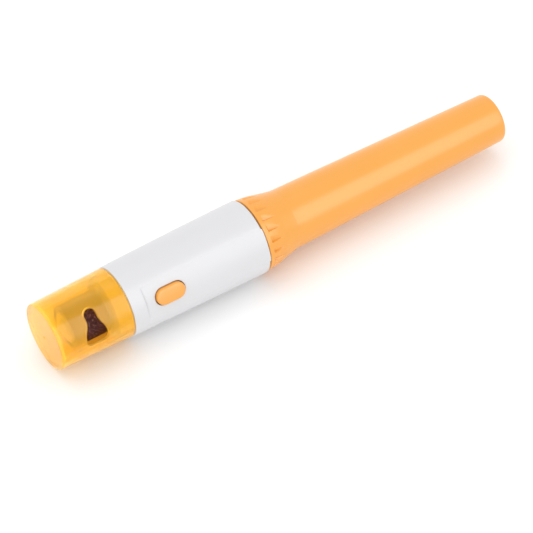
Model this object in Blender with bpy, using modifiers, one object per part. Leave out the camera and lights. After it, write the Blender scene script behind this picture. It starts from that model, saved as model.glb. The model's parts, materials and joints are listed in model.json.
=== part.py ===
"""Battery nail grinder for pets: a sanding drum under a clear guard, driven by a small motor.

Sizes below are millimetres. A "station" is the distance along the grinder's axis from the
front face of the guard. The row frame has +X from the guard to the tail, +Z up, and its
origin under the middle of the grinder as it lies on a table.
"""
import math

import bmesh
import bpy
from mathutils import Matrix, Vector

MM = 0.001

# Overall layout
LENGTH = 200.0            # guard face to tail face
ROLL = math.radians(61)   # the button looks up and to the -Y side by this angle
LARGE_STEPS = 60          # facets round a casing
SMALL_STEPS = 24          # facets round a small turned piece
GAP = 0.3                 # running gap between neighbouring pieces

# Guard
GUARD_END = 30.2
GUARD_FRONT_RADIUS = 13.2
GUARD_REAR_RADIUS = 13.85
GUARD_WALL = 1.65
GUARD_EDGE = 0.9
WINDOW_STATION = 15.4
WINDOW_ROLL = math.radians(56.1)
WINDOW_HALF_CHORD = 6.83
WINDOW_LOBE_RADIUS = 2.5
WINDOW_WAIST = 2.42
WINDOW_WAIST_HEIGHT = 3.0
WINDOW_WIDE = 4.5
WINDOW_WIDE_HEIGHT = -3.6
WINDOW_CORNER = 2.0

# Barrel
NECK_START = 24.9
NECK_RADIUS = 11.9
BARREL_START = GUARD_END + GAP
BARREL_END = 88.7
BARREL_FRONT_RADIUS = 14.0
BARREL_REAR_RADIUS = 14.77
BELLY_POWER = 1.7         # how soon the barrel swells from its front radius to its rear one
CASING_EDGE = 0.4         # rounding of the casings' edges
SPIGOT_END = 94.3
SPIGOT_RADIUS = 12.5
BULKHEAD = 2.1
BOSS_HOLE_RADIUS = 3.4
SEAT_RADIUS = 10.35       # where the motor sits
SEAT_LENGTH = 4.0
SEAT_TAPER = 1.6
BORE_RADIUS = 12.1
BORE_ROOF = 10.5          # flat inside, above which the button's flange can't rise
ROOF_HALF_WIDTH = 6.6
LAND_START = 80.0
LAND_RADIUS = 10.9
PANEL_START = 36.3
PANEL_FRONT_HEIGHT = 13.6
PANEL_REAR_HEIGHT = 14.3
PANEL_CROWN_RADIUS = 20.0
SCREW_HOLE_RADIUS = 1.2

# Button and switch
BUTTON_STATION = 46.6
BUTTON_LENGTH = 12.0
BUTTON_WIDTH = 6.5
BUTTON_TOP = 15.0
BUTTON_ROUND = 0.8
SLOT_CLEARANCE = 0.4
FLANGE_RIM = 1.2
FLANGE_LOW = 9.4
FLANGE_HIGH = BORE_ROOF - GAP
ARM_END = 62.5
ARM_HALF_WIDTH = 2.6
FOOT_START = 58.0
FOOT_END = 61.6
FOOT_HALF_WIDTH = 1.8
SWITCH_START = 55.6
SWITCH_SIZE = 8.4
SWITCH_LOW = 0.4
SWITCH_HIGH = 7.4
PLUNGER_RADIUS = 1.5
PLUNGER_LOW = 5.3
PLUNGER_TOP = 8.9
WELL_LOW = 3.4
TERMINAL_THICKNESS = 0.5

# Motor
MOTOR_START = NECK_START + BULKHEAD + GAP
MOTOR_CAN_END = 49.8
MOTOR_END = 52.6
MOTOR_RADIUS = 10.05
MOTOR_FLAT = 7.55
CAN_WALL = 0.8
SCREW_SPACING = 7.0       # each motor screw's distance from the axis
SCREW_THREAD_RADIUS = 0.95
TERMINAL_SPACING = 6.2
BUSH_RADIUS = 3.05
REAR_BUSH_RADIUS = 2.3
BUSH_CLEARANCE = 0.15
BRUSH_SPACING = 2.6
MAGNET_HALF_ANGLE = 30
MAGNET_INNER = 6.6
MAGNET_END = 45.0
ARMATURE_START = 31.6
ARMATURE_END = 43.6
POLE_RADIUS = 6.1
POLE_HALF_ANGLE = 52
CORE_RADIUS = 2.7
COMMUTATOR_START = 47.0
COMMUTATOR_END = 49.4
COMMUTATOR_RADIUS = 2.1
SHAFT_FIT = 0.1           # radial play between the shaft and what is pressed on it
SHAFT_RADIUS = 1.0
SHAFT_START = 14.0
SHAFT_END = 54.4

# Drum
SCREW_START = 6.6
SCREW_HEAD_RADIUS = 3.2
SCREW_SHANK_RADIUS = 1.3
HUB_BORE = 1.6
WASHER_START = 8.3
WASHER_THICKNESS = 0.8
WASHER_RADIUS = 6.0
SLEEVE_START = 9.4
SLEEVE_END = 22.4
SLEEVE_RADIUS = 7.4
HUB_END = 24.0
HUB_RADIUS = 3.2
HUB_FLANGE_RADIUS = 7.0
BAND_START = 8.4
BAND_LENGTH = 15.0
BAND_INNER = 7.65
BAND_OUTER = 8.35

# Handle
COLLAR_START = BARREL_END + GAP
COLLAR_RADIUS = 14.45
SHOULDER = (95.0, 13.75)
CONE = (99.0, 12.85)
TUBE_START = 103.6
TUBE_FRONT_RADIUS = 11.92
TAIL_RADIUS = 9.85
TAIL_EDGE = 1.5
TAIL_WALL = 1.8
COLLAR_BORE = SPIGOT_RADIUS + GAP
COLLAR_BORE_END = 96.0
STEP_BORE = 11.0
STEP_END = 98.0
TUBE_BORE = 9.9
TAIL_BORE = 8.3
NOTCH_COUNT = 20
NOTCH_START = 90.8
NOTCH_END = 98.0
NOTCH_FLOOR = 13.5
NOTCH_RIM = 14.6
NOTCH_WIDTH = math.radians(15)

# Cells and contacts
CELL_RADIUS = 7.25
CELL_LENGTH = 50.5
CELL_START = 87.4
NUB_RADIUS = 2.75
NUB_LENGTH = 1.0
CELL_EDGE = 0.5
SPRING_START = 189.4
SPRING_END = 197.0
SPRING_TURNS = 4.5
SPRING_FRONT_RADIUS = 2.6
SPRING_REAR_RADIUS = 5.2
SPRING_WIRE = 0.45
STRIP_START = 95.2
STRIP_END = 197.3
STRIP_THICKNESS = 0.3
STRIP_HALF_WIDTH = 1.8
STRIP_LOW = 7.55
STRIP_FOOT = 12.2
TAIL_PLATE_START = 197.5
TAIL_PLATE_END = 198.0
TAIL_PLATE_RADIUS = 6.6
RING_OUTER = 12.1
RING_INNER = 11.1
RIVET_START = 82.8
RIVET_END = 86.9
LEAD_RADIUS = 0.6

# Chassis
CHASSIS_START = 83.6
CHASSIS_END = 86.0
CHASSIS_RADIUS = LAND_RADIUS - GAP
CHASSIS_FRONT_START = MOTOR_END + 0.4
CHASSIS_FRONT_END = MOTOR_END + 2.4
CHASSIS_FRONT_BORE = 7.8
SPINE_HALF_WIDTH = 4.5
SPINE_LOW = 9.4
SPINE_HIGH = 7.9
WIRE_HOLE_SPACING = 6.4
WIRE_HOLE_RADIUS = 1.1


def clear_scene():
    for obj in list(bpy.data.objects):
        bpy.data.objects.remove(obj, do_unlink=True)


def make_collection(name):
    collection = bpy.data.collections.new(name)
    bpy.context.scene.collection.children.link(collection)
    return collection


def make_material(name, colour, roughness, metallic=0.0, alpha=1.0):
    material = bpy.data.materials.new(name)
    material.use_nodes = True
    shader = material.node_tree.nodes["Principled BSDF"]
    shader.inputs["Base Color"].default_value = (*colour, 1.0)
    shader.inputs["Roughness"].default_value = roughness
    shader.inputs["Metallic"].default_value = metallic
    shader.inputs["Alpha"].default_value = alpha
    material.diffuse_color = (*colour, alpha)
    return material


def make_empty(name, parent=None, location=(0, 0, 0), rotation=(0, 0, 0)):
    empty = bpy.data.objects.new(name, None)
    bpy.context.scene.collection.objects.link(empty)
    empty.parent = parent
    empty.location = location
    empty.rotation_euler = rotation
    return empty


clear_scene()
PARTS = make_collection("pet_nail_grinder")
CUTTERS = make_collection("cutters")

AMBER = make_material("amber_clear_plastic", (1.0, 0.55, 0.05), 0.08, alpha=0.45)
WHITE = make_material("white_plastic", (0.86, 0.86, 0.88), 0.25)
ORANGE = make_material("orange_plastic", (0.98, 0.47, 0.10), 0.3)
GREY_PLASTIC = make_material("grey_plastic", (0.35, 0.35, 0.37), 0.5)
BLACK_PLASTIC = make_material("black_plastic", (0.03, 0.03, 0.03), 0.45)
BLACK_RUBBER = make_material("black_rubber", (0.02, 0.02, 0.02), 0.8)
ABRASIVE = make_material("brown_abrasive", (0.20, 0.05, 0.05), 0.95)
STEEL = make_material("plated_steel", (0.70, 0.70, 0.72), 0.3, metallic=1.0)
DARK_STEEL = make_material("lamination_steel", (0.25, 0.25, 0.27), 0.45, metallic=1.0)
FERRITE = make_material("ferrite_magnet", (0.06, 0.06, 0.065), 0.6)
COPPER = make_material("copper", (0.80, 0.40, 0.22), 0.3, metallic=1.0)
BRONZE = make_material("sintered_bronze", (0.55, 0.38, 0.20), 0.5, metallic=1.0)
SPRING_STEEL = make_material("nickel_spring_steel", (0.75, 0.74, 0.70), 0.25, metallic=1.0)
CELL_JACKET = make_material("cell_jacket", (0.10, 0.12, 0.16), 0.35)
RED_WIRE = make_material("red_insulation", (0.65, 0.03, 0.03), 0.4)
BLACK_WIRE = make_material("black_insulation", (0.02, 0.02, 0.02), 0.4)

# Every piece hangs from this empty, whose X axis is the grinder's axis and whose Z axis
# points from the axis to the button.
AXIS = make_empty("grinder_axis", location=(0, 0, BARREL_REAR_RADIUS * MM), rotation=(ROLL, 0, 0))
ROTOR_AXIS = make_empty("rotor_axis", parent=AXIS)
HANDLE_AXIS = make_empty("handle_axis", parent=AXIS)

# Turns a flat outline so that its first axis is sideways, its second up, and it faces the tail
ACROSS = Matrix(((0, 0, 1, 0), (1, 0, 0, 0), (0, 1, 0, 0), (0, 0, 0, 1)))


def along(station):
    """Distance in metres from the grinder's middle to a station, positive towards the tail."""
    return (station - LENGTH / 2) * MM


def finish_object(name, mesh, material, parent=None, cutter=False):
    obj = bpy.data.objects.new(name, mesh)
    if cutter:
        CUTTERS.objects.link(obj)
        obj.hide_render = True
        obj.display_type = "WIRE"
    else:
        PARTS.objects.link(obj)
    if material:
        mesh.materials.append(material)
    obj.parent = parent or AXIS
    return obj


def turned(name, profile, material=None, parent=None, steps=SMALL_STEPS, cutter=False):
    """Turn (station, radius) points, listed down the outer side first, about the axis."""
    points = [(radius * MM, 0.0, -along(station)) for station, radius in profile]
    closed = profile[0][1] > 0 or profile[-1][1] > 0
    edges = [(i, i + 1) for i in range(len(points) - 1)]
    if closed:
        edges.append((len(points) - 1, 0))
    mesh = bpy.data.meshes.new(name)
    mesh.from_pydata(points, edges, [])
    obj = finish_object(name, mesh, material, parent, cutter)
    obj.rotation_euler = (0, -math.pi / 2, 0)
    screw = obj.modifiers.new("turn", "SCREW")
    screw.steps = steps
    screw.render_steps = steps
    screw.use_merge_vertices = True
    screw.merge_threshold = 0.00001
    return obj


def disc_profile(start, end, radius):
    return [(start, 0), (start, radius), (end, radius), (end, 0)]


def ring_profile(start, end, outer, inner):
    return [(start, outer), (end, outer), (end, inner), (start, inner)]


def block(name, stations, sides, heights, material=None, parent=None, cutter=False, tilt=0.0):
    """A box between two stations, two sideways places and two heights above the axis."""
    mesh = bpy.data.meshes.new(name)
    bm = bmesh.new()
    bmesh.ops.create_cube(bm, size=1.0)
    size = ((stations[1] - stations[0]) * MM, (sides[1] - sides[0]) * MM, (heights[1] - heights[0]) * MM)
    bmesh.ops.scale(bm, vec=size, verts=bm.verts)
    bm.to_mesh(mesh)
    bm.free()
    obj = finish_object(name, mesh, material, parent, cutter)
    obj.location = (
        along(sum(stations) / 2),
        sum(sides) / 2 * MM,
        sum(heights) / 2 * MM,
    )
    obj.rotation_euler = (0, tilt, 0)
    return obj


def upright_post(name, station, side, heights, radius, material=None, parent=None, cutter=False,
                 steps=SMALL_STEPS):
    """A cylinder standing along the button's direction."""
    mesh = bpy.data.meshes.new(name)
    bm = bmesh.new()
    bmesh.ops.create_cone(bm, cap_ends=True, segments=steps, radius1=radius * MM, radius2=radius * MM,
                          depth=(heights[1] - heights[0]) * MM)
    bm.to_mesh(mesh)
    bm.free()
    obj = finish_object(name, mesh, material, parent, cutter)
    obj.location = (along(station), side * MM, sum(heights) / 2 * MM)
    return obj


def curve_to_mesh(curve_object):
    """Replace a curve object by a welded mesh object of the same name and place."""
    name = curve_object.name
    bpy.context.view_layer.update()
    evaluated = curve_object.evaluated_get(bpy.context.evaluated_depsgraph_get())
    mesh = bpy.data.meshes.new_from_object(evaluated)
    bm = bmesh.new()
    bm.from_mesh(mesh)
    bmesh.ops.remove_doubles(bm, verts=bm.verts, dist=0.000001)
    bmesh.ops.recalc_face_normals(bm, faces=bm.faces)
    bm.to_mesh(mesh)
    bm.free()
    parent = curve_object.parent
    collection = curve_object.users_collection[0]
    basis = curve_object.matrix_basis.copy()
    bpy.data.objects.remove(curve_object, do_unlink=True)
    obj = bpy.data.objects.new(name, mesh)
    collection.objects.link(obj)
    obj.parent = parent
    obj.matrix_basis = basis
    return obj


def outline_solid(name, outlines, thickness, place, material, parent=None, cutter=False):
    """Flat closed outlines in metres, filled and extruded; outlines inside the first are holes."""
    curve = bpy.data.curves.new(name, "CURVE")
    curve.dimensions = "2D"
    curve.fill_mode = "BOTH"
    curve.extrude = thickness / 2
    for outline in outlines:
        spline = curve.splines.new("POLY")
        spline.points.add(len(outline) - 1)
        for point, (across, up) in zip(spline.points, outline):
            point.co = (across, up, 0, 1)
        spline.use_cyclic_u = True
    obj = finish_object(name, curve, material, parent, cutter)
    obj.matrix_basis = place
    obj = curve_to_mesh(obj)
    if cutter:
        obj.hide_render = True
        obj.display_type = "WIRE"
    return obj


def plate(name, outline, heights, material=None, cutter=False, spin=0.0):
    """A (station, side) outline, extruded between two heights above the axis."""
    points = [(along(station), side * MM) for station, side in outline]
    middle = Vector((0, 0, sum(heights) / 2 * MM))
    place = Matrix.Rotation(spin, 4, "X") @ Matrix.Translation(middle)
    return outline_solid(name, [points], (heights[1] - heights[0]) * MM, place, material, cutter=cutter)


def section(name, outlines, stations, material=None, parent=None, cutter=False):
    """(side, height) outlines, extruded along the axis between two stations."""
    points = [[(side * MM, height * MM) for side, height in outline] for outline in outlines]
    place = Matrix.Translation((along(sum(stations) / 2), 0, 0)) @ ACROSS
    return outline_solid(name, points, (stations[1] - stations[0]) * MM, place, material, parent, cutter)


def wire(name, route, radius, material, parent=None, sides=2):
    """A round wire through (station, side, height) points."""
    curve = bpy.data.curves.new(name, "CURVE")
    curve.dimensions = "3D"
    curve.bevel_depth = radius * MM
    curve.bevel_resolution = sides
    curve.use_fill_caps = True
    spline = curve.splines.new("POLY")
    spline.points.add(len(route) - 1)
    for point, (station, side, height) in zip(spline.points, route):
        point.co = (along(station), side * MM, height * MM, 1)
    return curve_to_mesh(finish_object(name, curve, material, parent))


def smooth_route(stops, count):
    """Points of a Catmull-Rom curve through the stops."""
    padded = [stops[0], *stops, stops[-1]]
    spans = len(stops) - 1
    route = []
    for index in range(count):
        place = index / (count - 1) * spans
        span = min(int(place), spans - 1)
        t = place - span
        a, b, c, d = (Vector(padded[span + k]) for k in range(4))
        route.append(0.5 * (2 * b + (c - a) * t + (2 * a - 5 * b + 4 * c - d) * t ** 2
                            + (3 * b - a - 3 * c + d) * t ** 3))
    return route


def boolean(target, other, operation):
    modifier = target.modifiers.new(operation.lower(), "BOOLEAN")
    modifier.operation = operation
    modifier.solver = "EXACT"
    modifier.object = other


def cut(target, *cutters):
    for cutter in cutters:
        boolean(target, cutter, "DIFFERENCE")


def join(target, *others):
    for other in others:
        boolean(target, other, "UNION")


def weld_cut_pieces():
    """Close the hairline seams that cuts and joins leave."""
    for obj in PARTS.objects:
        if any(modifier.type == "BOOLEAN" for modifier in obj.modifiers):
            weld = obj.modifiers.new("close_seams", "WELD")
            weld.merge_threshold = 0.00001


def arc(centre, radius, start, end, count):
    """Points of an arc, angles in degrees."""
    angles = [math.radians(start + (end - start) * i / (count - 1)) for i in range(count)]
    return [(centre[0] + radius * math.cos(a), centre[1] + radius * math.sin(a)) for a in angles]


def stadium(station, length, width, count=9):
    """A slot outline that runs along the grinder."""
    reach = (length - width) / 2
    right = arc((station + reach, 0), width / 2, -90, 90, count)
    left = arc((station - reach, 0), width / 2, 90, 270, count)
    return right + left


def circle(side, height, radius, count=SMALL_STEPS):
    return arc((side, height), radius, 0, 360 * (count - 1) / count, count)


def rectangle(side, height, width, tall):
    return [(side + i * width / 2, height + j * tall / 2) for i, j in ((1, 1), (-1, 1), (-1, -1), (1, -1))]


def double_flat(radius, flat, count=13):
    """A round outline with a flat at the top and one at the bottom."""
    angle = math.degrees(math.asin(flat / radius))
    return arc((0, 0), radius, -angle, angle, count) + arc((0, 0), radius, 180 - angle, 180 + angle, count)


def window_outline():
    """A skittle-shaped window: narrow round end up, wide end with rounded corners down."""
    top = WINDOW_HALF_CHORD
    lobe = (WINDOW_STATION, top - WINDOW_LOBE_RADIUS)
    outline = arc(lobe, WINDOW_LOBE_RADIUS, 0, 180, 9)
    flank = []
    count = 5
    for index in range(count):
        share = index / (count - 1)
        spread = share * share * (3 - 2 * share)
        flank.append((WINDOW_WAIST + (WINDOW_WIDE - WINDOW_WAIST) * spread,
                      WINDOW_WAIST_HEIGHT + (WINDOW_WIDE_HEIGHT - WINDOW_WAIST_HEIGHT) * share))
    outline += [(WINDOW_STATION - reach, height) for reach, height in flank]
    corner = (WINDOW_STATION - WINDOW_WIDE + WINDOW_CORNER, -top + WINDOW_CORNER)
    outline += arc(corner, WINDOW_CORNER, 180, 270, 5)
    corner = (WINDOW_STATION + WINDOW_WIDE - WINDOW_CORNER, -top + WINDOW_CORNER)
    outline += arc(corner, WINDOW_CORNER, 270, 360, 5)
    outline += [(WINDOW_STATION + reach, height) for reach, height in reversed(flank)]
    return outline


def make_guard():
    edge = GUARD_EDGE
    rounded = [(edge - edge * math.cos(a), GUARD_FRONT_RADIUS - edge + edge * math.sin(a))
               for a in (0.0, math.pi / 6, math.pi / 3, math.pi / 2)]
    inner_front = GUARD_FRONT_RADIUS - GUARD_WALL
    inner_edge = 0.8
    mouth = NECK_RADIUS + GAP
    profile = [(0, 0), *rounded, (GUARD_END, GUARD_REAR_RADIUS), (GUARD_END, mouth),
               (NECK_START - 2 * GAP, mouth), (GUARD_WALL + inner_edge, inner_front),
               (GUARD_WALL, inner_front - inner_edge), (GUARD_WALL, 0)]
    guard = turned("guard", profile, AMBER, steps=LARGE_STEPS)
    window = plate("window_cutter", window_outline(), (8.0, 18.0), cutter=True, spin=WINDOW_ROLL - ROLL)
    cut(guard, window)


def barrel_side():
    """The barrel's gently bellied side, as (station, radius) points."""
    count = 6
    points = []
    for index in range(count):
        share = index / (count - 1)
        station = BARREL_START + CASING_EDGE + share * (BARREL_END - BARREL_START - 2 * CASING_EDGE)
        narrowing = (BARREL_REAR_RADIUS - BARREL_FRONT_RADIUS) * (1 - share) ** BELLY_POWER
        points.append((station, BARREL_REAR_RADIUS - narrowing))
    return points


def make_panel_cutter():
    """Everything above the shallow crowned panel, whose floor rises a little towards the tail."""
    overrun = 4.0
    depth = 6.0
    slope = (PANEL_REAR_HEIGHT - PANEL_FRONT_HEIGHT) / (BARREL_END - PANEL_START)
    middle = (PANEL_START + BARREL_END + overrun) / 2
    height = PANEL_FRONT_HEIGHT + slope * (middle - PANEL_START)
    crown = arc((0, -PANEL_CROWN_RADIUS), PANEL_CROWN_RADIUS, 40, 140, 25)
    reach = crown[0][0]
    outline = crown + [(-reach, depth), (reach, depth)]
    panel = section("panel_cutter", [outline], (PANEL_START, BARREL_END + overrun), cutter=True)
    tilt = Matrix.Rotation(-math.atan(slope), 4, "Y")
    panel.matrix_basis = Matrix.Translation((along(middle), 0, height * MM)) @ tilt @ ACROSS
    return panel


def make_barrel():
    edge = CASING_EDGE
    floor = NECK_START + BULKHEAD
    seat_end = floor + SEAT_LENGTH
    profile = [(NECK_START, BOSS_HOLE_RADIUS), (NECK_START, NECK_RADIUS - edge), (NECK_START + edge, NECK_RADIUS),
               (BARREL_START, NECK_RADIUS), (BARREL_START, BARREL_FRONT_RADIUS - edge),
               *barrel_side(), (BARREL_END, BARREL_REAR_RADIUS - edge), (BARREL_END, SPIGOT_RADIUS),
               (SPIGOT_END - edge, SPIGOT_RADIUS), (SPIGOT_END, SPIGOT_RADIUS - edge),
               (SPIGOT_END, LAND_RADIUS), (LAND_START + 1.2, LAND_RADIUS), (LAND_START, BORE_RADIUS),
               (seat_end + SEAT_TAPER, BORE_RADIUS), (seat_end, SEAT_RADIUS), (floor, SEAT_RADIUS),
               (floor, BOSS_HOLE_RADIUS)]
    barrel = turned("barrel", profile, WHITE, steps=LARGE_STEPS)
    roof = block("roof", (seat_end + 0.4, LAND_START + 0.8), (-ROOF_HALF_WIDTH, ROOF_HALF_WIDTH),
                 (BORE_ROOF, BORE_RADIUS + 0.2), cutter=True)
    join(barrel, roof)
    slot_outline = stadium(BUTTON_STATION, BUTTON_LENGTH + 2 * SLOT_CLEARANCE, BUTTON_WIDTH + 2 * SLOT_CLEARANCE)
    slot = plate("slot_cutter", slot_outline, (BORE_ROOF - 1, BUTTON_TOP + 2), cutter=True)
    cut(barrel, make_panel_cutter(), slot)
    for side in (-1, 1):
        hole = turned(f"screw_hole_cutter_{side}", disc_profile(NECK_START - 1, floor + 1, SCREW_HOLE_RADIUS),
                      cutter=True, steps=16)
        hole.location.y = side * SCREW_SPACING * MM
        cut(barrel, hole)


def make_button():
    cap = plate("button", stadium(BUTTON_STATION, BUTTON_LENGTH, BUTTON_WIDTH),
                (FLANGE_HIGH - 0.4, BUTTON_TOP), ORANGE)
    bevel = cap.modifiers.new("round_top", "BEVEL")
    bevel.width = BUTTON_ROUND * MM
    bevel.segments = 2
    bevel.limit_method = "ANGLE"
    flange_outline = stadium(BUTTON_STATION, BUTTON_LENGTH + 2 * FLANGE_RIM, BUTTON_WIDTH + 2 * FLANGE_RIM, 5)
    flange = plate("button_flange", flange_outline, (FLANGE_LOW, FLANGE_HIGH), cutter=True)
    arm = block("button_arm", (BUTTON_STATION, ARM_END), (-ARM_HALF_WIDTH, ARM_HALF_WIDTH),
                (FLANGE_LOW, FLANGE_HIGH - 0.1), cutter=True)
    foot = block("button_foot", (FOOT_START, FOOT_END), (-FOOT_HALF_WIDTH, FOOT_HALF_WIDTH),
                 (PLUNGER_TOP + GAP, FLANGE_LOW + 0.3), cutter=True)
    join(cap, flange, arm, foot)


def make_switch():
    half = SWITCH_SIZE / 2
    middle = SWITCH_START + half
    body = block("switch_body", (SWITCH_START, SWITCH_START + SWITCH_SIZE), (-half, half),
                 (SWITCH_LOW, SWITCH_HIGH), BLACK_PLASTIC)
    well = upright_post("plunger_well_cutter", middle, 0, (WELL_LOW, SWITCH_HIGH + 1), PLUNGER_RADIUS + GAP,
                        cutter=True)
    cut(body, well)
    upright_post("switch_plunger", middle, 0, (PLUNGER_LOW, PLUNGER_TOP), PLUNGER_RADIUS, WHITE)
    near = half + GAP
    far = near + TERMINAL_THICKNESS
    for index, sides in enumerate(((-far, -near), (near, far)), start=1):
        block(f"switch_terminal_{index}", (middle - 0.8, middle + 0.8), sides, (-2.6, 3.2), SPRING_STEEL)


def make_motor():
    inner_radius = MOTOR_RADIUS - CAN_WALL
    inner_flat = MOTOR_FLAT - CAN_WALL
    can = section("motor_can", [double_flat(MOTOR_RADIUS, MOTOR_FLAT), double_flat(inner_radius, inner_flat)],
                  (MOTOR_START, MOTOR_CAN_END), STEEL)
    holes = [circle(side * SCREW_SPACING, 0, SCREW_HOLE_RADIUS, 12) for side in (-1, 1)]
    lap = CAN_WALL / 2
    front_outline = double_flat(inner_radius + lap, inner_flat + lap)
    front = section("can_front", [front_outline, circle(0, 0, BUSH_RADIUS + GAP), *holes],
                    (MOTOR_START + 0.1, MOTOR_START + 0.1 + CAN_WALL), cutter=True)
    join(can, front)
    bush_bore = SHAFT_RADIUS + BUSH_CLEARANCE
    turned("motor_front_bush", ring_profile(MOTOR_START - 1.8, MOTOR_START + 1.6, BUSH_RADIUS, bush_bore), BRONZE)
    turned("motor_rear_bush", ring_profile(MOTOR_CAN_END + 0.1, MOTOR_END - 0.2, REAR_BUSH_RADIUS, bush_bore),
           BRONZE)

    slots = [rectangle(side * TERMINAL_SPACING, 0, 2.8, 1.2) for side in (-1, 1)]
    cap_outline = double_flat(MOTOR_RADIUS - 0.1, MOTOR_FLAT - 0.1)
    section("motor_end_cap", [cap_outline, circle(0, 0, REAR_BUSH_RADIUS + GAP), *slots],
            (MOTOR_CAN_END + GAP, MOTOR_END), WHITE)
    for index, side in enumerate((-1, 1), start=1):
        terminal = side * TERMINAL_SPACING
        block(f"motor_terminal_{index}", (MOTOR_CAN_END - 0.6, MOTOR_END + 3.2), (terminal - 1.1, terminal + 1.1),
              (-0.25, 0.25), SPRING_STEEL)
        brush = side * BRUSH_SPACING
        block(f"motor_brush_{index}", (47.4, 48.9), (-3.0, 3.0), (brush - 0.2, brush + 0.2), COPPER)
        middle = 90 + 90 * side
        outer = arc((0, 0), inner_radius - GAP, middle - MAGNET_HALF_ANGLE, middle + MAGNET_HALF_ANGLE, 9)
        inner = arc((0, 0), MAGNET_INNER, middle + MAGNET_HALF_ANGLE, middle - MAGNET_HALF_ANGLE, 9)
        section(f"motor_magnet_{index}", [outer + inner], (MOTOR_START + 3.2, MAGNET_END), FERRITE)


def armature_outline():
    """Three pole faces with a winding slot between each pair."""
    outline = []
    for pole in (90, 210, 330):
        outline += arc((0, 0), POLE_RADIUS, pole - POLE_HALF_ANGLE, pole + POLE_HALF_ANGLE, 9)
        outline += arc((0, 0), CORE_RADIUS, pole + 46, pole + 74, 2)
    return outline


def make_armature():
    turned("motor_shaft", disc_profile(SHAFT_START, SHAFT_END, SHAFT_RADIUS), STEEL, ROTOR_AXIS, steps=20)
    section("armature", [armature_outline(), circle(0, 0, SHAFT_RADIUS + SHAFT_FIT, 16)],
            (ARMATURE_START, ARMATURE_END), DARK_STEEL, ROTOR_AXIS)
    coil_profile = [(ARMATURE_END + 0.4, 2.2), (ARMATURE_END + 0.6, 5.0), (COMMUTATOR_START - 0.8, 5.0),
                    (COMMUTATOR_START - 0.4, 2.2)]
    turned("armature_coil_head", coil_profile, COPPER, ROTOR_AXIS)
    commutator_profile = ring_profile(COMMUTATOR_START, COMMUTATOR_END, COMMUTATOR_RADIUS, SHAFT_RADIUS + SHAFT_FIT)
    turned("commutator", commutator_profile, COPPER, ROTOR_AXIS)


def make_drum():
    hub_front = SLEEVE_START + GAP
    hub_profile = [(hub_front, HUB_RADIUS - CASING_EDGE), (hub_front + CASING_EDGE, HUB_RADIUS),
                   (SLEEVE_END + GAP, HUB_RADIUS), (SLEEVE_END + GAP, HUB_FLANGE_RADIUS),
                   (HUB_END, HUB_FLANGE_RADIUS), (HUB_END, SHAFT_RADIUS + SHAFT_FIT),
                   (SHAFT_START - GAP, SHAFT_RADIUS + SHAFT_FIT), (SHAFT_START - GAP, HUB_BORE),
                   (hub_front, HUB_BORE)]
    turned("drum_hub", hub_profile, GREY_PLASTIC, ROTOR_AXIS)
    edge = CASING_EDGE
    sleeve_profile = [(SLEEVE_START, SLEEVE_RADIUS - edge), (SLEEVE_START + edge, SLEEVE_RADIUS),
                      (SLEEVE_END - edge, SLEEVE_RADIUS), (SLEEVE_END, SLEEVE_RADIUS - edge),
                      (SLEEVE_END, HUB_RADIUS + GAP), (SLEEVE_START, HUB_RADIUS + GAP)]
    turned("drum_sleeve", sleeve_profile, BLACK_RUBBER, ROTOR_AXIS, steps=36)
    washer_profile = ring_profile(WASHER_START, WASHER_START + WASHER_THICKNESS, WASHER_RADIUS, HUB_BORE)
    turned("drum_washer", washer_profile, STEEL, ROTOR_AXIS)
    head_end = WASHER_START - GAP
    shank_end = SHAFT_START - 1.0
    screw_profile = [(SCREW_START, 0), (SCREW_START, SCREW_HEAD_RADIUS - 0.8),
                     (SCREW_START + 0.5, SCREW_HEAD_RADIUS), (head_end, SCREW_HEAD_RADIUS),
                     (head_end, SCREW_SHANK_RADIUS), (shank_end, SCREW_SHANK_RADIUS), (shank_end, 0)]
    screw = turned("drum_screw", screw_profile, STEEL, ROTOR_AXIS)
    for index, (wide, tall) in enumerate(((0.35, 1.9), (1.9, 0.35))):
        slot = block(f"screw_cross_{index}", (SCREW_START - 1, SCREW_START + 0.8), (-wide, wide), (-tall, tall),
                     parent=ROTOR_AXIS, cutter=True)
        cut(screw, slot)
    turned("sanding_band", ring_profile(BAND_START, BAND_START + BAND_LENGTH, BAND_OUTER, BAND_INNER),
           ABRASIVE, ROTOR_AXIS, steps=48)


def make_motor_screws():
    head, under_head = NECK_START - 0.7, NECK_START - 0.05
    tip = MOTOR_START + 2.4
    profile = [(head, 0), (head, 1.5), (under_head, 1.9), (under_head, SCREW_THREAD_RADIUS),
               (tip, SCREW_THREAD_RADIUS), (tip, 0)]
    for index, side in enumerate((-1, 1), start=1):
        screw = turned(f"motor_screw_{index}", profile, STEEL, steps=16)
        screw.location.y = side * SCREW_SPACING * MM


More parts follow.
